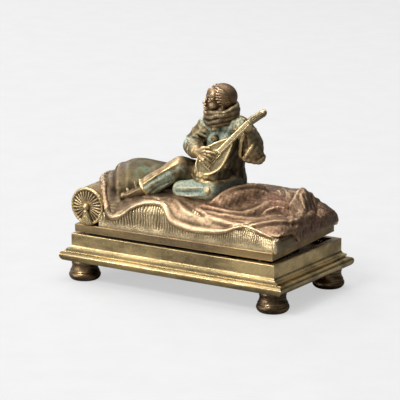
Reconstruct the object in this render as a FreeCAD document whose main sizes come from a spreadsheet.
"""Bronze inkwell: a moulded box on turned feet, with a day-bed lid that carries a seated lute player.

Units are millimetres.  The origin is at the centre of the footprint, on the surface that the feet
stand on.  +X runs along the length, towards the foot of the bed; +Y points to the rear, where the
hinge is; +Z is up.  Everything on the lid is laid out in the lid's own level frame, whose origin is
at the centre of the lid plate's underside, and is then seated by one placement.
"""
import FreeCAD, Part
import math
import os
import re
import Sketcher
from FreeCAD import Placement, Rotation, Vector

doc = FreeCAD.newDocument("Inkwell")
sheet = doc.addObject("Spreadsheet::Sheet", "Sheet")
SUBPARTS = []

# ---------------------------------------------------------------- driving dimensions

DIMENSIONS = {
    # casing
    "cornice_length": 160.0,
    "cornice_width": 87.8,
    "rim_length": 146.1,
    "rim_width": 79.8,
    "rim_top": 29.8,
    "rim_edge_radius": 0.5,
    "fascia_bottom": 22.4,
    "bead_top": 19.9,
    "bead_bottom": 18.6,
    "slab_top": 18.0,
    "slab_tip": 15.7,
    "slab_bottom": 12.6,
    "mouth_length": 138.0,
    "mouth_width": 72.0,
    "tray_ledge": 24.0,
    "ledge_width": 2.0,
    "nut_room_top": 19.4,
    "nut_room_length": 144.4,
    "nut_room_width": 73.4,
    "floor_top": 15.5,
    "floor_opening_length": 112.0,
    "floor_opening_width": 46.0,
    # feet and their fastening
    "foot_spacing_long": 136.4,
    "foot_spacing_wide": 65.6,
    "foot_sole_radius": 7.9,
    "foot_bun_radius": 9.95,
    "foot_neck_radius": 7.6,
    "foot_sole_arc": 3.6,
    "foot_bun_middle": 2.7,
    "foot_bun_arc": 3.1,
    "foot_bun_top": 4.9,
    "foot_bun_top_inset": 0.9,
    "foot_groove_middle": 5.15,
    "foot_groove_inset": 1.25,
    "foot_flare_bottom": 5.5,
    "foot_flare_inset": 0.75,
    "foot_flare_arc": 6.2,
    "foot_collar_step": 0.35,
    "foot_collar_bottom": 8.9,
    "foot_collar_middle": 9.2,
    "foot_collar_top": 9.5,
    "foot_collar_arc": 3.2,
    "stud_radius": 1.5,
    "stud_top": 19.0,
    "bore_play": 0.1,
    "washer_radius": 3.0,
    "washer_height": 0.5,
    "nut_flats": 5.5,
    "nut_height": 2.3,
    # floor plate
    "floor_plate_overlap": 4.0,
    "floor_plate_height": 1.5,
    "screw_radius": 1.0,
    "screw_head_radius": 1.9,
    "screw_head_height": 1.0,
    # tray and ink pots
    "tray_play": 0.2,
    "tray_height": 1.4,
    "well_spacing": 88.0,
    "well_hole_radius": 17.3,
    "pot_radius": 17.0,
    "pot_flange_radius": 19.5,
    "pot_flange_height": 1.6,
    "pot_bottom": 17.6,
    "pot_floor": 2.0,
    "pot_bore_radius": 14.5,
    "trough_length": 40.0,
    "trough_width": 58.0,
    "trough_depth": 4.5,
    "trough_wall": 1.2,
    # hinge
    "hinge_length": 60.0,
    "hinge_axis_rear": 39.0,
    "hinge_axis_height": 31.55,
    "knuckle_radius": 1.7,
    "knuckle_gap": 0.2,
    "leaf_height": 0.85,
    "pin_radius": 0.8,
    "pin_play": 0.03,
    "leaf_setback": 0.3,
    "leaf_play": 0.05,
    "lid_flap_width": 4.9,
    "lid_flap_shift": 0.65,
    "knuckle_room": 0.15,
    "leaf_screw_radius": 0.4,
    "leaf_screw_head_radius": 0.55,
    "leaf_screw_head_height": 0.3,
    "leaf_screw_length": 3.0,
    "leaf_screw_inset": 0.95,
    "leaf_screw_spacing": 22.0,
    "pin_head_radius": 1.3,
    "pin_head_height": 0.5,
    # lid seat
    "lid_offset_long": -1.4,
    "lid_offset_wide": 0.2,
    "lid_height": 32.2,
    "lid_yaw": 1.25,
    "lid_tilt": 1.75,
    # lid plate
    "lid_length": 140.5,
    "lid_width": 75.5,
    "lid_plate_height": 4.85,
    "lid_wall": 4.0,
    "lid_roof": 1.85,
    "lid_edge": 0.4,
    "pad_radius": 1.6,
    "pad_height": 1.15,
    "pad_inset": 9.0,
    "lid_screw_left": -43.5,
    "lid_screw_right": 64.1,
    "lid_screw_inset": 3.2,
    # mattress and bolster
    "mattress_left": -49.0,
    "mattress_right": 72.6,
    "mattress_front": -37.9,
    "mattress_rear": 37.5,
    "mattress_top": 15.5,
    "mattress_roundness": 4.5,
    "mattress_wall": 9.0,
    "mattress_roof": 3.0,
    "bolster_radius": 11.85,
    "bolster_front": -37.6,
    "bolster_length": 74.6,
    "bolster_centre_long": -61.0,
    "bolster_axis_height": 16.75,
    "bolster_rim_radius": 1.2,
    "bolster_rim_width": 2.6,
    "bolster_dish": 0.8,
    "button_proud": 1.3,
    "tassel_proud": 2.0,
    "button_radius": 2.0,
    "tassel_top_radius": 1.3,
    "tassel_foot_radius": 2.6,
    "tassel_length": 8.6,
    # throw and blanket
    "throw_left": -48.6,
    "throw_right": 68.5,
    "throw_front": -34.5,
    "throw_rear": 37.0,
    "throw_front_height": 17.0,
    "throw_back_height": 22.0,
    "throw_crown_radius": 87.0,
    "throw_seat_height": 26.0,
    "throw_slope": 14.0,
    "throw_slope_start": 32.0,
    "heap_half_length": 13.5,
    "heap_half_width": 18.0,
    "heap_rise": 13.5,
    "pillow_half_length": 23.0,
    "pillow_half_width": 25.0,
    "pillow_rise": 17.5,
    "pillow_turn": -12.0,
    # figure
    "head_radius": 9.0,
    "head_height": 20.4,
    "head_tilt": 16.0,
    "hips_half_width": 12.6,
    "hips_half_depth": 11.5,
    "hips_half_height": 14.0,
    "belly_half_width": 12.2,
    "belly_half_depth": 10.4,
    "belly_half_height": 18.0,
    "chest_half_width": 13.2,
    "chest_half_depth": 9.6,
    "chest_half_height": 20.0,
    "ruff_radius": 9.4,
    "ruff_step": 0.5,
    "ruff_roll_radius": 2.1,
    "ruff_roll_pitch": 3.7,
    "ruff_tilt": -7.0,
    "lute_half_width": 10.4,
    "lute_half_length": 13.5,
    "lute_half_depth": 7.5,
    "lute_front": 1.2,
    "lute_board_height": 1.0,
    "lute_neck_start": 12.0,
    "lute_neck_radius": 2.2,
    "lute_neck_rise": 0.2,
    "peg_start": 3.0,
    "peg_pitch": 2.8,
    "peg_radius": 0.55,
    "peg_length": 7.0,
    "fixing_radius": 2.0,
    "fixing_head_radius": 3.6,
    "fixing_head_height": 2.0,
    "fixing_reach": 6.0,
    "fixing_spacing": 12.0,
    "fixing_along": 14.0,
    "fixing_back": 2.0,
    # blocks that only cut reach well past what they cut
    "tool_size": 100.0,
}

# Points in the lid's frame. A joint of the figure also has the radius of the flesh or cloth there.
POINTS = {
    "heap": (54.0, 15.0, 17.0),
    "pillow": (-47.0, 9.0, 22.5),
    "hips": (14.0, 3.5, 34.0),
    "belly": (14.2, 3.0, 45.0),
    "chest": (14.5, 2.5, 56.0),
    "ruff": (14.2, 0.6, 68.4),
    "head": (14.6, 0.2, 84.3),
    "hip_right": (7.5, 0.5, 32.0, 8.8),
    "knee_right": (-8.3, -12.5, 42.6, 6.0),
    "ankle_right": (-28.0, -24.0, 28.2, 4.8),
    "toe_right": (-38.5, -27.0, 25.6, 2.6),
    "hip_left": (20.0, 0.5, 32.0, 8.8),
    "knee_left": (17.5, -18.5, 32.6, 6.2),
    "ankle_left": (-5.5, -17.5, 30.2, 4.4),
    "shoulder_right": (4.5, 1.5, 68.0, 6.0),
    "elbow_right": (-4.9, -3.0, 54.2, 5.6),
    "wrist_right": (7.0, -14.0, 53.4, 3.0),
    "fingers_right": (15.0, -20.0, 53.0, 1.9),
    "shoulder_left": (24.5, 2.5, 68.5, 6.2),
    "elbow_left": (37.0, 1.5, 54.0, 6.2),
    "wrist_left": (36.0, -6.5, 67.5, 3.2),
    "fingers_left": (34.4, -9.5, 71.5, 2.0),
    "lute_tail": (19.2, -20.0, 42.5),
    "lute_shoulder": (25.0, -18.5, 55.5),
    "lute_nut": (38.2, -12.6, 75.0, 1.7),
    "pegbox_tip": (48.3, -9.0, 81.2, 1.6),
}

# Which way the lute's soundboard looks, before it is squared with the neck.
LUTE_FACING = Vector(0.36, -0.93, 0.08)

# How far the casing's mouldings stand out of the fascia, as shares of the cornice's reach.
GROOVE_SHARE = 0.32
HOLLOW_SHARE = 0.33
BEAD_SHARE = 0.42
SHOULDER_SHARE = 0.44
SLAB_FOOT_SHARE = 0.72


def fill_sheet():
    """Write every driving dimension and point into the sheet, one alias to a cell."""
    rows = dict(DIMENSIONS)
    for point, values in POINTS.items():
        for suffix, number in zip(("along", "back", "up", "radius"), values):
            rows[f"{point}_{suffix}"] = number
    for row, (alias, number) in enumerate(rows.items(), start=1):
        sheet.set(f"A{row}", alias.replace("_", " "))
        sheet.set(f"B{row}", str(number))
        sheet.setAlias(f"B{row}", alias)
    doc.recompute()
    return set(rows)


ALIASES = fill_sheet()

# ---------------------------------------------------------------- small helpers


def cells(formula):
    """Name the sheet in front of every alias of a formula."""
    return re.sub(r"[a-z_]+", lambda m: "Sheet." + m.group() if m.group() in ALIASES else m.group(), formula)


def size(formula):
    """The number that a formula of aliases stands for."""
    return float(sheet.evalExpression(cells(formula)))


def bind(thing, **formulas):
    """Bind properties of a document object to formulas of sheet cells."""
    for prop, formula in formulas.items():
        thing.setExpression(prop, cells(formula))
    return thing


def place(x=0.0, y=0.0, z=0.0, axis=(0, 0, 1), angle=0.0):
    return Placement(Vector(x, y, z), Rotation(Vector(*axis), angle))


def aim(start, end):
    """The placement at start whose +Z points at end."""
    return Placement(start, Rotation(Vector(0, 0, 1), end - start))


def subpart(thing, label):
    """Give a finished piece its label and put it on the list of nodes."""
    thing.Label = label
    SUBPARTS.append(thing)
    return thing


def draw(sketch, outline):
    """Draw a closed outline whose corners and radii are bound to the sheet.

    Each corner is (x, y) or (x, y, radius, turn): the last two make the edge that leaves the corner
    an arc, with turn +1 for an arc that turns left and -1 for one that turns right.
    """
    corners = [Vector(size(corner[0]), size(corner[1]), 0) for corner in outline]
    ends = []
    for index, corner in enumerate(outline):
        start, end = corners[index], corners[(index + 1) % len(corners)]
        if len(corner) == 2:
            edge = sketch.addGeometry(Part.LineSegment(start, end))
            ends.append((edge, 1, 2))
            continue
        radius, turn = size(corner[2]), corner[3]
        middle = (start + end) / 2
        half_chord = (end - start).Length / 2
        along = (end - start).normalize()
        left = Vector(-along.y, along.x, 0)
        centre = middle + left * (turn * math.sqrt(radius ** 2 - half_chord ** 2))
        first, last = (start, end) if turn > 0 else (end, start)
        begin = math.atan2(first.y - centre.y, first.x - centre.x)
        finish = math.atan2(last.y - centre.y, last.x - centre.x)
        if finish < begin:
            finish += 2 * math.pi
        circle = Part.Circle(centre, Vector(0, 0, 1), radius)
        edge = sketch.addGeometry(Part.ArcOfCircle(circle, begin, finish))
        ends.append((edge, 1, 2) if turn > 0 else (edge, 2, 1))
    for index, corner in enumerate(outline):
        edge, start_point, end_point = ends[index]
        next_edge, next_start, _ = ends[(index + 1) % len(ends)]
        sketch.addConstraint(Sketcher.Constraint("Coincident", edge, end_point, next_edge, next_start))
        for kind, formula in (("DistanceX", corner[0]), ("DistanceY", corner[1])):
            number = sketch.addConstraint(
                Sketcher.Constraint(kind, edge, start_point, size(formula)))
            sketch.setExpression(f"Constraints[{number}]", cells(formula))
        if len(corner) > 2:
            number = sketch.addConstraint(Sketcher.Constraint("Radius", edge, size(corner[2])))
            sketch.setExpression(f"Constraints[{number}]", cells(corner[2]))
    return sketch


def rectangle(half_length, half_width):
    return [(f"-({half_length})", f"-({half_width})"), (half_length, f"-({half_width})"),
            (half_length, half_width), (f"-({half_length})", half_width)]


def body_sketch(body, plane, outline, offset=0.0):
    """A sketch on one of a body's own origin planes."""
    support = next(item for item in body.Origin.OriginFeatures if item.Role == plane)
    sketch = body.newObject("Sketcher::SketchObject", body.Name + "_sketch")
    sketch.AttachmentSupport = [(support, "")]
    sketch.MapMode = "FlatFace"
    sketch.AttachmentOffset = place(z=offset)
    return draw(sketch, outline)


def turned(name, outline, frame):
    """A body of revolution about its own Z, from an outline of (radius, height) corners."""
    body = doc.addObject("PartDesign::Body", name)
    sketch = body_sketch(body, "XZ_Plane", outline)
    turning = body.newObject("PartDesign::Revolution", name + "_turning")
    turning.Profile = (sketch, [""])
    turning.ReferenceAxis = (sketch, ["V_Axis"])
    turning.Angle = 360
    body.Placement = frame
    return body


def box(name, frame, length, width, height):
    """A box centred on its frame in X and Y, standing on the frame's origin."""
    block = bind(doc.addObject("Part::Box", name), Length=length, Width=width, Height=height)
    block.Placement = frame * place(-size(length) / 2, -size(width) / 2)
    return block


def rod(name, frame, radius, height):
    cylinder = bind(doc.addObject("Part::Cylinder", name), Radius=radius, Height=height)
    cylinder.Placement = frame
    return cylinder


def cone(name, start, end, radius_low, radius_high):
    """A tapered run in the lid's frame, from one point to another."""
    frustum = bind(doc.addObject("Part::Cone", name), Radius1=radius_low, Radius2=radius_high)
    frustum.Height = (end - start).Length
    frustum.Placement = LID * aim(start, end)
    return frustum


def countersink(name, frame, radius_low, radius_high, height):
    """A screw's conical head, standing on its frame."""
    head = bind(doc.addObject("Part::Cone", name), Radius1=radius_low, Radius2=radius_high, Height=height)
    head.Placement = frame
    return head


def ball(name, frame, radius):
    sphere = bind(doc.addObject("Part::Sphere", name), Radius=radius)
    sphere.Placement = frame
    return sphere


def ellipsoid(name, frame, along, back, height):
    """An ellipsoid with its half sizes along the frame's X, Y and Z."""
    shape = bind(doc.addObject("Part::Ellipsoid", name), Radius2=along, Radius3=back, Radius1=height)
    shape.Placement = frame
    return shape


def dome(name, frame, along, back, height):
    """The upper half of an ellipsoid."""
    half = ellipsoid(name, frame, along, back, height)
    half.Angle1 = 0
    return half


def joined(name, pieces):
    union = doc.addObject("Part::MultiFuse", name)
    union.Shapes = pieces
    return union


def grouped(name, pieces):
    """Several separate solids that share one node."""
    group = doc.addObject("Part::Compound", name)
    group.Links = pieces
    return group


def cut(name, base, tools):
    """The base with every tool taken out of it."""
    result = doc.addObject("Part::Cut", name)
    result.Base = base
    result.Tool = tools[0] if len(tools) == 1 else grouped(name + "_tools", tools)
    return result


def ring_of(name, make, frames):
    """One piece made again at every frame, as a group."""
    return grouped(name, [make(f"{name}_{number}", frame) for number, frame in enumerate(frames, start=1)])


def spot(point):
    """A named point of the sheet, in the lid's frame."""
    return Vector(size(point + "_along"), size(point + "_back"), size(point + "_up"))


def limb(name, joints):
    """Balls at the joints, with a tapered run between each two."""
    balls = [ball(f"{name}_{joint}", LID * place(*spot(joint)), joint + "_radius") for joint in joints]
    runs = [cone(f"{name}_{start}_run", spot(start), spot(end),
                 start + "_radius", end + "_radius")
            for start, end in zip(joints, joints[1:])]
    return joined(name, balls + runs)


LID = (place(size("lid_offset_long"), size("lid_offset_wide"), size("lid_height"))
       * place(angle=size("lid_yaw"))
       * place(axis=(1, 0, 0), angle=size("lid_tilt")))
FEET = {
    "foot_front_left": (-1, -1),
    "foot_front_right": (1, -1),
    "foot_rear_left": (-1, 1),
    "foot_rear_right": (1, 1),
}


def foot_frames(height):
    """The four feet's axes, at a given height."""
    along, back = size("foot_spacing_long / 2"), size("foot_spacing_wide / 2")
    return [place(side * along, end * back, height) for side, end in FEET.values()]


# ---------------------------------------------------------------- casing


def moulding(half, reach):
    """One side of the casing's section, from the slab's bottom up to the rim.

    half is the half size at the cornice, and reach is how far the cornice stands out of the fascia.
    """
    fascia = f"{half} - {reach}"

    def out(share):
        return f"{fascia} + {share} * {reach}"

    def sweep(share, rise):
        """The radius of an arc that starts upright and ends a share of the reach away, over a rise."""
        return f"(({share} * {reach})^2 + ({rise})^2) / (2 * {share} * {reach})"

    return [
        (out(SLAB_FOOT_SHARE), "slab_bottom", sweep(1 - SLAB_FOOT_SHARE, "slab_tip - slab_bottom"), 1),
        (out(1.0), "slab_tip", sweep(1 - SHOULDER_SHARE, "slab_top - slab_tip"), 1),
        (out(SHOULDER_SHARE), "slab_top"),
        (out(GROOVE_SHARE), "slab_top"),
        (out(GROOVE_SHARE), "bead_bottom"),
        (out(BEAD_SHARE), "bead_bottom"),
        (out(BEAD_SHARE), "bead_top"),
        (out(HOLLOW_SHARE), "bead_top", sweep(HOLLOW_SHARE, "fascia_bottom - bead_top"), -1),
        (fascia, "fascia_bottom"),
        (fascia, "rim_top - rim_edge_radius", "rim_edge_radius", 1),
        (f"{fascia} - rim_edge_radius", "rim_top"),
    ]


def both_sides(side):
    """A section closed by the mirror image of its right side."""
    outline = list(side)
    corners = [corner[:2] for corner in side]
    arcs = [corner[2:] for corner in side]
    for number in range(len(side) - 1, -1, -1):
        x, y = corners[number]
        arc = arcs[number - 1] if number else ()
        outline.append((f"-({x})", y) + tuple(arc))
    return outline


def section_bar(name, side, rotation, length):
    """A straight bar of the casing's section, longer than the casing."""
    sketch = draw(doc.addObject("Sketcher::SketchObject", name + "_section"), both_sides(side))
    sketch.Placement = Placement(Vector(), rotation)
    bar = doc.addObject("Part::Extrusion", name)
    bar.Base = sketch
    bar.DirMode = "Normal"
    bar.Solid = True
    bar.Symmetric = True
    bind(bar, LengthFwd=length)
    return bar


def make_casing():
    """A cast box: two section bars that meet in mitred corners, hollowed from above."""
    long_side = moulding("cornice_width / 2", "(cornice_width - rim_width) / 2")
    end_side = moulding("cornice_length / 2", "(cornice_length - rim_length) / 2")
    long_bar = section_bar("casing_long_bar", long_side, Rotation(Vector(1, 1, 1), 120),
                           "cornice_length + 20")
    cross_bar = section_bar("casing_cross_bar", end_side, Rotation(Vector(1, 0, 0), 90),
                            "cornice_width + 20")
    block = doc.addObject("Part::Common", "casing_block")
    block.Base = long_bar
    block.Tool = cross_bar
    mouth = box("casing_mouth", place(z=size("tray_ledge")), "mouth_length", "mouth_width",
                "rim_top - tray_ledge + 1")
    throat = box("casing_throat", place(z=size("floor_top")), "mouth_length - 2 * ledge_width",
                 "mouth_width - 2 * ledge_width", "tray_ledge - floor_top + 1")
    nut_room = box("casing_nut_room", place(z=size("floor_top")), "nut_room_length", "nut_room_width",
                   "nut_room_top - floor_top")
    opening = box("casing_floor_opening", place(z=size("slab_bottom - 1")), "floor_opening_length",
                  "floor_opening_width", "floor_top - slab_bottom + 2")
    stud_holes = [rod(f"casing_stud_hole_{number}", frame, "stud_radius + bore_play",
                      "floor_top - slab_bottom + 2")
                  for number, frame in enumerate(foot_frames(size("slab_bottom - 1")), start=1)]
    plate_holes = [rod(f"casing_plate_hole_{number}", frame, "screw_radius", "floor_top - slab_bottom")
                   for number, frame in enumerate(floor_screw_frames(size("slab_bottom + 0.6")), start=1)]
    hinge_holes = [rod(f"casing_hinge_hole_{number}", frame, "leaf_screw_radius", "leaf_screw_length")
                   for number, frame in enumerate(base_leaf_screw_frames(), start=1)]
    tools = joined("casing_cavity", [mouth, throat, nut_room, opening])
    return subpart(cut("casing", block, [tools] + stud_holes + plate_holes + hinge_holes), "base_casing")


# ---------------------------------------------------------------- feet


def make_feet():
    """Four turned bun feet, each with its own stud."""
    outline = [
        ("0", "0"),
        ("foot_sole_radius", "0", "foot_sole_arc", 1),
        ("foot_bun_radius", "foot_bun_middle", "foot_bun_arc", 1),
        ("foot_bun_radius - foot_bun_top_inset", "foot_bun_top"),
        ("foot_bun_radius - foot_groove_inset", "foot_groove_middle"),
        ("foot_bun_radius - foot_flare_inset", "foot_flare_bottom", "foot_flare_arc", -1),
        ("foot_neck_radius + foot_collar_step", "foot_collar_bottom"),
        ("foot_neck_radius", "foot_collar_middle"),
        ("foot_neck_radius + foot_collar_step", "foot_collar_top", "foot_collar_arc", 1),
        ("foot_neck_radius", "slab_bottom"),
        ("stud_radius", "slab_bottom"),
        ("stud_radius", "stud_top"),
        ("0", "stud_top"),
    ]
    for label, frame in zip(FEET, foot_frames(0.0)):
        subpart(turned(label, outline, frame), label)


def hexagon_nut(name, frame):
    """A hexagonal prism with its bore."""
    prism = doc.addObject("Part::Prism", name + "_prism")
    prism.Polygon = 6
    bind(prism, Circumradius="nut_flats / sqrt(3)", Height="nut_height")
    prism.Placement = frame
    return cut(name, prism, [rod(name + "_bore", frame, "stud_radius", "nut_height")])


def washer(name, frame):
    disc = rod(name + "_disc", frame, "washer_radius", "washer_height")
    return cut(name, disc, [rod(name + "_bore", frame, "stud_radius + bore_play", "washer_height")])


def make_foot_fastening():
    subpart(ring_of("washers", washer, foot_frames(size("floor_top"))), "foot_washers")
    subpart(ring_of("nuts", hexagon_nut, foot_frames(size("floor_top + washer_height"))), "foot_nuts")


# ---------------------------------------------------------------- floor plate, tray and pots


def floor_screw_frames(height):
    """The floor plate's four screws, midway along its overlap on the casing's floor."""
    along = size("(floor_opening_length + floor_plate_overlap) / 2")
    back = size("floor_opening_width / 4")
    return [place(end * along, side * back, height) for end in (-1, 1) for side in (-1, 1)]


def cheese_screw(name, frame):
    """A cheese-head screw that points down from its frame, where the head's seat is."""
    shank = rod(name + "_shank", frame * place(z=-size("floor_plate_height + 1.6")), "screw_radius",
                "floor_plate_height + 1.6")
    head = rod(name + "_head", frame, "screw_head_radius", "screw_head_height")
    slot = box(name + "_slot", frame * place(z=size("screw_head_height / 2")), "2 * screw_head_radius",
               "0.5", "screw_head_height")
    return cut(name, joined(name + "_turned", [shank, head]), [slot])


def make_floor_plate():
    seat = size("floor_top")
    plate = box("floor_plate_blank", place(z=seat), "floor_opening_length + 2 * floor_plate_overlap",
                "floor_opening_width + 2 * floor_plate_overlap", "floor_plate_height")
    holes = [rod(f"floor_plate_hole_{number}", frame, "screw_radius", "floor_plate_height")
             for number, frame in enumerate(floor_screw_frames(seat), start=1)]
    subpart(cut("floor_plate", plate, holes), "floor_plate")
    frames = floor_screw_frames(size("floor_top + floor_plate_height"))
    subpart(ring_of("floor_screws", cheese_screw, frames), "floor_plate_screws")


def make_tray():
    """A drop-in tray: two round holes for the pots, and a sunk trough for nibs between them."""
    body = doc.addObject("PartDesign::Body", "tray")
    sheet_metal = body.newObject("PartDesign::Pad", "tray_sheet")
    sheet_metal.Profile = body_sketch(body, "XY_Plane", rectangle("mouth_length / 2 - tray_play",
                                                                  "mouth_width / 2 - tray_play"))
    bind(sheet_metal, Length="tray_height")
    sunk = body.newObject("PartDesign::Pad", "tray_trough")
    sunk.Profile = body_sketch(body, "XY_Plane", rectangle("trough_length / 2", "trough_width / 2"))
    sunk.Reversed = True
    bind(sunk, Length="trough_depth")
    doc.recompute()
    before = body.Shape.Volume
    inside = body.newObject("PartDesign::Pocket", "tray_trough_inside")
    inside.Profile = body_sketch(body, "XY_Plane", rectangle("trough_length / 2 - trough_wall",
                                                             "trough_width / 2 - trough_wall"),
                                 size("tray_height"))
    bind(inside, Length="tray_height + trough_depth - trough_wall")
    wells = body.newObject("PartDesign::Pocket", "tray_well_holes")
    sketch = body_sketch(body, "XY_Plane", [], size("tray_height"))
    for side in (-1, 1):
        centre = Vector(side * size("well_spacing / 2"), 0, 0)
        hole = sketch.addGeometry(Part.Circle(centre, Vector(0, 0, 1), size("well_hole_radius")))
        for kind, formula in (("DistanceX", f"{side} * well_spacing / 2"), ("DistanceY", "0")):
            number = sketch.addConstraint(Sketcher.Constraint(kind, hole, 3, size(formula)))
            sketch.setExpression(f"Constraints[{number}]", cells(formula))
        number = sketch.addConstraint(Sketcher.Constraint("Radius", hole, size("well_hole_radius")))
        sketch.setExpression(f"Constraints[{number}]", cells("well_hole_radius"))
    wells.Profile = sketch
    bind(wells, Length="tray_height")
    body.Placement = place(z=size("tray_ledge"))
    doc.recompute()
    assert body.Shape.Volume < before, "the tray's pockets cut nothing"
    subpart(body, "well_tray")


def make_pots():
    """Two glass pots that hang in the tray by their flanges."""
    seat = "tray_ledge + tray_height"
    outline = [
        ("0", "pot_bottom"),
        ("pot_radius - 2", "pot_bottom", "2", 1),
        ("pot_radius", "pot_bottom + 2"),
        ("pot_radius", seat),
        ("pot_flange_radius", seat),
        ("pot_flange_radius", f"{seat} + pot_flange_height"),
        ("pot_bore_radius", f"{seat} + pot_flange_height"),
        ("pot_bore_radius", "pot_bottom + pot_floor + 3", "3", -1),
        ("pot_bore_radius - 3", "pot_bottom + pot_floor"),
        ("0", "pot_bottom + pot_floor"),
    ]
    for label, side in (("ink_pot_left", -1), ("ink_pot_right", 1)):
        subpart(turned(label, outline, place(side * size("well_spacing / 2"))), label)


# ---------------------------------------------------------------- hinge


def hinge_frame(along=0.0):
    """On the hinge's axis, with +Z along it."""
    return place(along, size("hinge_axis_rear"), size("hinge_axis_height"), (0, 1, 0), 90)


def knuckle(name, number, clearing=False):
    """One of the hinge's five knuckles, or a larger one that clears it."""
    pitch = size("hinge_length / 5")
    start = (number - 2.5) * pitch + size("knuckle_gap / 2")
    length = "hinge_length / 5 - knuckle_gap"
    radius = "knuckle_radius"
    if clearing:
        start -= size("knuckle_gap")
        length = "hinge_length / 5 + knuckle_gap"
        radius = "knuckle_radius + knuckle_room"
    return rod(name, hinge_frame(start), radius, length)


def screw_row(frame):
    """Three screw places in a line along X."""
    return [place(step * size("leaf_screw_spacing")) * frame for step in (-1, 0, 1)]


def base_leaf_screw_frames():
    """Screw places in the rim, at the screws' lower ends."""
    back = size("mouth_width / 2 + leaf_screw_inset")
    return screw_row(place(0, back, size("rim_top - leaf_screw_length")))


def lid_leaf_frame(height=0.0):
    """Level with the lid's underside where the hinge is, without the lid's slight turn."""
    turn = Rotation(Vector(1, 0, 0), size("lid_tilt"))
    return Placement(Vector(0, LID.Base.y, LID.Base.z), turn) * place(z=height)


def lid_leaf_screw_frames(height):
    back = size("lid_width / 2 - lid_wall / 2")
    return [lid_leaf_frame() * place(step * size("leaf_screw_spacing"), back, height) for step in (-1, 0, 1)]


def leaf_screw(name, frame):
    """A small countersunk screw, from the frame upwards, whose head ends flush with the leaf."""
    neck = "leaf_screw_length + leaf_height - leaf_screw_head_height"
    return joined(name, [
        rod(name + "_shank", frame, "leaf_screw_radius", neck),
        countersink(name + "_head", frame * place(z=size(neck)), "leaf_screw_radius",
                    "leaf_screw_head_radius", "leaf_screw_head_height"),
    ])


def make_hinge():
    """A five-knuckle butt hinge: three knuckles on the base leaf and two on the lid leaf."""
    end = -size("hinge_length / 2 + 1")
    flap_front = size("mouth_width / 2 + leaf_setback")
    flap = box("base_flap", place(0, (flap_front + size("hinge_axis_rear")) / 2, size("rim_top")),
               "hinge_length - knuckle_gap", "hinge_axis_rear - mouth_width / 2 - leaf_setback",
               "leaf_height")
    base_leaf = joined("base_leaf_blank", [flap] + [knuckle(f"base_knuckle_{n}", n) for n in (0, 2, 4)])
    base_bore = rod("base_leaf_bore", hinge_frame(end), "pin_radius + pin_play", "hinge_length + 2")
    base_holes = [leaf_screw(f"base_leaf_hole_{n}", frame)
                  for n, frame in enumerate(base_leaf_screw_frames(), start=1)]
    clear_lid = [knuckle(f"lid_knuckle_room_{n}", n, True) for n in (1, 3)]
    subpart(cut("base_leaf", base_leaf, [base_bore] + base_holes + clear_lid), "hinge_base_leaf")
    subpart(ring_of("base_leaf_screws", leaf_screw, base_leaf_screw_frames()), "hinge_base_screws")

    under = -size("leaf_height + leaf_play")
    wall_middle = size("lid_width / 2 - lid_wall / 2")
    lid_flap = box("lid_flap", lid_leaf_frame(under) * place(y=wall_middle + size("lid_flap_shift")),
                   "hinge_length - knuckle_gap", "lid_flap_width", "leaf_height")
    lid_leaf = joined("lid_leaf_blank", [lid_flap] + [knuckle(f"lid_knuckle_{n}", n) for n in (1, 3)])
    lid_bore = rod("lid_leaf_bore", hinge_frame(end), "pin_radius + pin_play", "hinge_length + 2")
    screws = [frame * place(axis=(1, 0, 0), angle=180)
              for frame in lid_leaf_screw_frames(size("leaf_screw_length - leaf_play"))]
    lid_holes = [leaf_screw(f"lid_leaf_hole_{n}", frame) for n, frame in enumerate(screws, start=1)]
    clear_base = [knuckle(f"base_knuckle_room_{n}", n, True) for n in (0, 2, 4)]
    subpart(cut("lid_leaf", lid_leaf, [lid_bore] + lid_holes + clear_base), "hinge_lid_leaf")
    subpart(ring_of("lid_leaf_screws", leaf_screw, screws), "hinge_lid_screws")

    start = hinge_frame(-size("hinge_length / 2 + pin_head_height + pin_play * 3"))
    far_end = hinge_frame(size("hinge_length / 2 - pin_play * 3"))
    pin = joined("pin", [rod("pin_shank", start, "pin_radius", "hinge_length + pin_head_height"),
                         rod("pin_end_low", start, "pin_head_radius", "pin_head_height"),
                         rod("pin_end_high", far_end, "pin_head_radius", "pin_head_height")])
    subpart(pin, "hinge_pin")


# ---------------------------------------------------------------- lid plate


def lid_screw_frames(height):
    """Four screws that hold the mattress casting down on the lid plate."""
    back = size("lid_width / 2 - lid_wall - lid_screw_inset")
    return [LID * place(size(along), side * back, height)
            for along in ("lid_screw_left", "lid_screw_right") for side in (-1, 1)]


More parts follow.
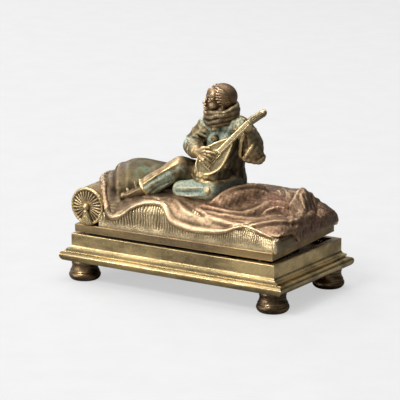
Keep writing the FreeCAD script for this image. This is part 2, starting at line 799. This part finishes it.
def make_lid_plate():
    """A shallow plate with its underside sunk, so that it clears the pots."""
    blank = box("lid_plate_blank", LID, "lid_length", "lid_width", "lid_plate_height")
    doc.recompute()
    top = size("lid_plate_height")
    eased = doc.addObject("Part::Chamfer", "lid_plate_eased")
    eased.Base = blank
    level = LID.inverse()
    rims = [number for number, edge in enumerate(blank.Shape.Edges, start=1)
            if all(abs(level.multVec(vertex.Point).z - top) < 1e-6 for vertex in edge.Vertexes)]
    eased.Edges = [(number, size("lid_edge"), size("lid_edge")) for number in rims]
    sunk = box("lid_plate_sunk", LID * place(z=-1), "lid_length - 2 * lid_wall", "lid_width - 2 * lid_wall",
               "lid_plate_height - lid_roof + 1")
    holes = [rod(f"lid_plate_hole_{n}", frame, "screw_radius", "lid_roof + 2")
             for n, frame in enumerate(lid_screw_frames(size("lid_plate_height - lid_roof - 1")), start=1)]
    hinge_holes = [rod(f"lid_hinge_hole_{n}", frame, "leaf_screw_radius", "leaf_screw_length + 0.5")
                   for n, frame in enumerate(lid_leaf_screw_frames(-0.5), start=1)]
    subpart(cut("lid_plate", eased, [sunk] + holes + hinge_holes), "lid_plate")
    heads = [frame * place(axis=(1, 0, 0), angle=180)
             for frame in lid_screw_frames(size("lid_plate_height - lid_roof"))]
    subpart(ring_of("lid_screws", cheese_screw, heads), "lid_screws")


def make_rest_pads():
    """Two pads under the lid's front wall, which stand on the rim when the lid is shut."""
    along = size("lid_length / 2 - pad_inset")
    front = -size("lid_width / 2 - lid_wall / 2")
    frames = [LID * place(side * along, front, -size("pad_height")) for side in (-1, 1)]
    subpart(ring_of("pads", lambda name, frame: rod(name, frame, "pad_radius", "pad_height"), frames),
            "lid_rest_pads")


# ---------------------------------------------------------------- bed


def make_mattress():
    """A hollow casting with rounded edges, open below."""
    length, width = "mattress_right - mattress_left", "mattress_rear - mattress_front"
    centre = place(size("(mattress_left + mattress_right) / 2"), size("(mattress_front + mattress_rear) / 2"),
                   size("lid_plate_height"))
    blank = box("mattress_blank", LID * centre, length, width, "mattress_top - lid_plate_height")
    doc.recompute()
    rounded = doc.addObject("Part::Fillet", "mattress_rounded")
    rounded.Base = blank
    floor = size("lid_plate_height")
    level = LID.inverse()
    edges = []
    for number, edge in enumerate(blank.Shape.Edges, start=1):
        corners = [level.multVec(vertex.Point) for vertex in edge.Vertexes]
        on_floor = all(abs(corner.z - floor) < 1e-6 for corner in corners)
        at_bolster = all(abs(corner.x - size("mattress_left")) < 1e-6 for corner in corners)
        if not on_floor and not at_bolster:
            edges.append((number, size("mattress_roundness"), size("mattress_roundness")))
    rounded.Edges = edges
    hollow = box("mattress_hollow", LID * centre * place(z=-1), f"{length} - 2 * mattress_wall",
                 f"{width} - 2 * mattress_wall", "mattress_top - lid_plate_height - mattress_roof + 1")
    holes = [rod(f"mattress_screw_hole_{n}", frame, "screw_radius", "3.2")
             for n, frame in enumerate(lid_screw_frames(floor - 1), start=1)]
    fixing = [rod(f"mattress_fixing_hole_{n}", frame, "fixing_radius + bore_play", "mattress_roof + 2")
              for n, frame in enumerate(fixing_frames(size("mattress_top - mattress_roof - 1")), start=1)]
    subpart(cut("mattress", rounded, [hollow] + holes + fixing), "mattress")
    return rounded


def bolster_frame(back):
    """On the bolster's axis, with +Z to the rear."""
    return LID * place(size("bolster_centre_long"), back, size("bolster_axis_height"), (1, 0, 0), -90)


def make_bolster():
    """A round bolster across the head of the bed, with a raised rim round each gathered end."""
    rim_outside, rim_inside = "bolster_radius - bolster_rim_radius", "bolster_radius - bolster_rim_width"
    outline = [
        ("0", "bolster_dish"),
        (rim_inside, "0"),
        (rim_outside, "0", "bolster_rim_radius", 1),
        ("bolster_radius", "bolster_rim_radius"),
        ("bolster_radius", "bolster_length - bolster_rim_radius", "bolster_rim_radius", 1),
        (rim_outside, "bolster_length"),
        (rim_inside, "bolster_length"),
        ("0", "bolster_length - bolster_dish"),
    ]
    subpart(turned("bolster", outline, bolster_frame(size("bolster_front"))), "bolster")


def make_tassels():
    """A button in the middle of each end of the bolster, with a tassel hanging from it."""
    core = doc.getObject("bolster")
    ends = (size("bolster_front"), size("bolster_front + bolster_length"))
    along, up = size("bolster_centre_long"), size("bolster_axis_height")
    buttons = []
    tassels = []
    for number, (end, outward) in enumerate(zip(ends, (-1, 1)), start=1):
        centre = place(along, end + outward * size("button_proud"), up)
        whole = ball(f"button_ball_{number}", LID * centre, "button_radius")
        buttons.append(cut(f"button_{number}", whole, [core]))
        top = Vector(along, end + outward * size("tassel_proud"), up - size("button_radius"))
        foot = top - Vector(0, 0, size("tassel_length"))
        skirt = cone(f"tassel_skirt_{number}", foot, top, "tassel_foot_radius", "tassel_top_radius")
        tassels.append(cut(f"tassel_{number}", skirt, [core]))
    subpart(grouped("buttons", buttons), "bolster_buttons")
    subpart(grouped("tassels", tassels), "bolster_tassels")


def make_throw():
    """The cloth that covers the bed, crowned from its front edge to its rear edge."""
    body = doc.addObject("PartDesign::Body", "throw_blank")
    outline = [
        ("throw_front", "mattress_top"),
        ("throw_rear", "mattress_top"),
        ("throw_rear", "throw_back_height", "throw_crown_radius", 1),
        ("throw_front", "throw_front_height"),
    ]
    pad = body.newObject("PartDesign::Pad", "throw_pad")
    pad.Profile = body_sketch(body, "YZ_Plane", outline, size("throw_left"))
    bind(pad, Length="throw_right - throw_left")
    body.Placement = LID
    slope = LID * place(size("throw_slope_start"), 0, size("throw_seat_height + 1"), (0, 1, 0),
                        size("throw_slope")) * place(x=size("tool_size / 2"))
    fallen = cut("throw_fallen", body, [box("throw_slope_cut", slope, "tool_size", "tool_size", "tool_size")])
    holes = [rod(f"throw_fixing_hole_{n}", frame, "fixing_radius + bore_play",
                 "throw_seat_height - mattress_top + 4")
             for n, frame in enumerate(fixing_frames(size("mattress_top - 1")), start=1)]
    subpart(cut("throw", fallen, holes), "throw")
    return fallen


def make_heap(bed):
    """The blanket pushed into a heap at the foot of the bed."""
    lump = dome("heap_lump", LID * place(*spot("heap")), "heap_half_length", "heap_half_width", "heap_rise")
    return subpart(cut("heap", lump, bed), "blanket_heap")


def make_pillow(bed):
    """The large pillow behind the player's legs."""
    frame = LID * place(*spot("pillow"), (0, 0, 1), size("pillow_turn"))
    lump = dome("pillow_lump", frame, "pillow_half_length", "pillow_half_width", "pillow_rise")
    subpart(cut("pillow", lump, bed), "pillow")
    return lump


# ---------------------------------------------------------------- figure


def fixing_frames(height):
    """Two screws that come up through the bed into the seated figure."""
    middle, half = size("fixing_along"), size("fixing_spacing / 2")
    return [LID * place(middle + side * half, size("fixing_back"), height) for side in (-1, 1)]


def fixing_screw(name, frame):
    reach = "throw_seat_height - mattress_top + mattress_roof + fixing_reach"
    shank = rod(name + "_shank", frame, "fixing_radius", reach)
    head = rod(name + "_head", frame * place(z=-size("fixing_head_height")), "fixing_head_radius",
               "fixing_head_height")
    return joined(name, [shank, head])


def make_ruff():
    """Three cloth rolls round the neck, each a little smaller than the one below it."""
    outline = [("0", "0")]
    for number in range(3):
        radius = f"ruff_radius - {number} * ruff_step"
        outline.append((radius, f"{number} * ruff_roll_pitch", "ruff_roll_radius", 1))
        outline.append((radius, f"{number + 1} * ruff_roll_pitch"))
    outline.append(("0", "3 * ruff_roll_pitch"))
    frame = LID * place(*spot("ruff"), (0, 1, 0), size("ruff_tilt"))
    return subpart(turned("ruff", outline, frame), "ruff")


def make_head(ruff):
    """A plain head with its cap, tipped back and turned to the figure's right."""
    frame = LID * place(*spot("head"), (0, 1, 0), size("head_tilt"))
    skull = ellipsoid("head_skull", frame, "head_radius", "head_radius", "head_height / 2")
    return subpart(cut("head", skull, [ruff]), "head")


def make_torso(bed, ruff):
    """Hips and chest in a loose tunic, drilled for the two fixing screws."""
    blank = joined("torso_blank", [
        ellipsoid("torso_" + part, LID * place(*spot(part)), part + "_half_width", part + "_half_depth",
                  part + "_half_height")
        for part in ("hips", "belly", "chest")])
    length = "throw_seat_height - mattress_top + fixing_reach"
    holes = [rod(f"torso_fixing_hole_{n}", frame, "fixing_radius", length)
             for n, frame in enumerate(fixing_frames(size("mattress_top")), start=1)]
    subpart(cut("torso", blank, bed + [ruff] + holes), "torso")
    screws = fixing_frames(size("mattress_top - mattress_roof"))
    subpart(ring_of("fixing_screws", fixing_screw, screws), "figure_screws")
    return blank


def make_legs(around):
    """The right leg with its knee up, and the left one folded under it."""
    right = limb("right_leg_blank", ["hip_right", "knee_right", "ankle_right", "toe_right"])
    subpart(cut("right_leg", right, around), "right_leg")
    left = limb("left_leg_blank", ["hip_left", "knee_left", "ankle_left"])
    subpart(cut("left_leg", left, around + [right]), "left_leg")
    return [right, left]


def make_lute(around):
    """A small lute: a bowl under a flat soundboard, a neck, a bent-back pegbox and its pegs."""
    tail, shoulder, nut, tip = (spot(name) for name in
                                ("lute_tail", "lute_shoulder", "lute_nut", "pegbox_tip"))
    axis = (nut - tail).normalize()
    face = (LUTE_FACING - axis * LUTE_FACING.dot(axis)).normalize()
    across = axis.cross(face)
    turn = Rotation(across, axis, face, "ZXY")
    centre = (tail + shoulder) / 2

    def egg(name):
        return ellipsoid(name, LID * Placement(centre, turn), "lute_half_width", "lute_half_length",
                         "lute_half_depth")

    front = LID * Placement(centre + face * size("lute_front"), turn)
    bowl = cut("lute_bowl", egg("lute_bowl_egg"),
               [box("lute_front_cut", front, "tool_size", "tool_size", "tool_size")] + around)
    subpart(bowl, "lute_bowl")
    disc = doc.addObject("Part::Common", "lute_board_disc")
    disc.Base = egg("lute_board_egg")
    disc.Tool = box("lute_board_slab", front, "tool_size", "tool_size", "lute_board_height")
    board = subpart(cut("lute_board", disc, around), "lute_soundboard")
    start = centre + axis * size("lute_neck_start") + face * size("lute_neck_rise")
    neck = cone("lute_neck_run", start, nut, "lute_neck_radius", "lute_nut_radius")
    neck = subpart(cut("lute_neck", neck, [bowl, board] + around), "lute_neck")
    pegbox = cone("pegbox_run", nut, tip, "lute_nut_radius", "pegbox_tip_radius")
    along = (tip - nut).normalize()
    side = along.cross(face).normalize()
    peg_frames = []
    for number in range(3):
        middle = nut + along * size(f"peg_start + {number} * peg_pitch")
        peg_frames.append(LID * aim(middle - side * size("peg_length / 2"), middle))
    peg_holes = [rod(f"peg_hole_{number}", frame, "peg_radius", "peg_length")
                 for number, frame in enumerate(peg_frames)]
    pegbox = subpart(cut("pegbox", pegbox, peg_holes + [neck]), "lute_pegbox")
    subpart(ring_of("pegs", lambda name, frame: rod(name, frame, "peg_radius", "peg_length"), peg_frames),
            "lute_pegs")
    return [bowl, board, neck, pegbox]


def make_arms(around):
    """Wide-sleeved arms: the right hand over the strings, the left hand at the neck."""
    right = limb("right_arm_blank", ["shoulder_right", "elbow_right", "wrist_right", "fingers_right"])
    subpart(cut("right_arm", right, around), "right_arm")
    left = limb("left_arm_blank", ["shoulder_left", "elbow_left", "wrist_left", "fingers_left"])
    subpart(cut("left_arm", left, around), "left_arm")


def make_all():
    make_casing()
    make_feet()
    make_foot_fastening()
    make_floor_plate()
    make_tray()
    make_pots()
    make_hinge()
    make_lid_plate()
    make_rest_pads()
    bed = [make_mattress()]
    make_bolster()
    make_tassels()
    bed.append(make_throw())
    make_heap(bed)
    pillow = make_pillow(bed + [doc.getObject("bolster")])
    ruff = make_ruff()
    make_head(ruff)
    torso = make_torso(bed, ruff)
    legs = make_legs(bed + [pillow, torso])
    lute = make_lute([torso] + legs)
    make_arms([torso, ruff] + legs + lute)


def check_and_write():
    """Stop on any failed object or broken shape, then write one file for each node."""
    doc.recompute()
    for thing in doc.Objects:
        bad = {"Invalid", "Error"} & set(thing.State)
        assert not bad, f"{thing.Label} is {bad}"
    for thing in SUBPARTS:
        assert not thing.Shape.isNull(), f"{thing.Label} has no shape"
        assert thing.Shape.isValid(), f"{thing.Label} has a broken shape"
        assert thing.Shape.Volume > 0, f"{thing.Label} is empty"
    os.makedirs("parts", exist_ok=True)
    for thing in SUBPARTS:
        thing.Shape.exportStep(f"parts/{thing.Label}.step")
        extent = thing.Shape.optimalBoundingBox()
        print(f"{thing.Label:20s} {len(thing.Shape.Solids)} solids {thing.Shape.Volume / 1000:7.2f} cm3  "
              f"x {extent.XMin:7.2f} {extent.XMax:7.2f}  y {extent.YMin:7.2f} {extent.YMax:7.2f}  "
              f"z {extent.ZMin:7.2f} {extent.ZMax:7.2f}")


make_all()
check_and_write()
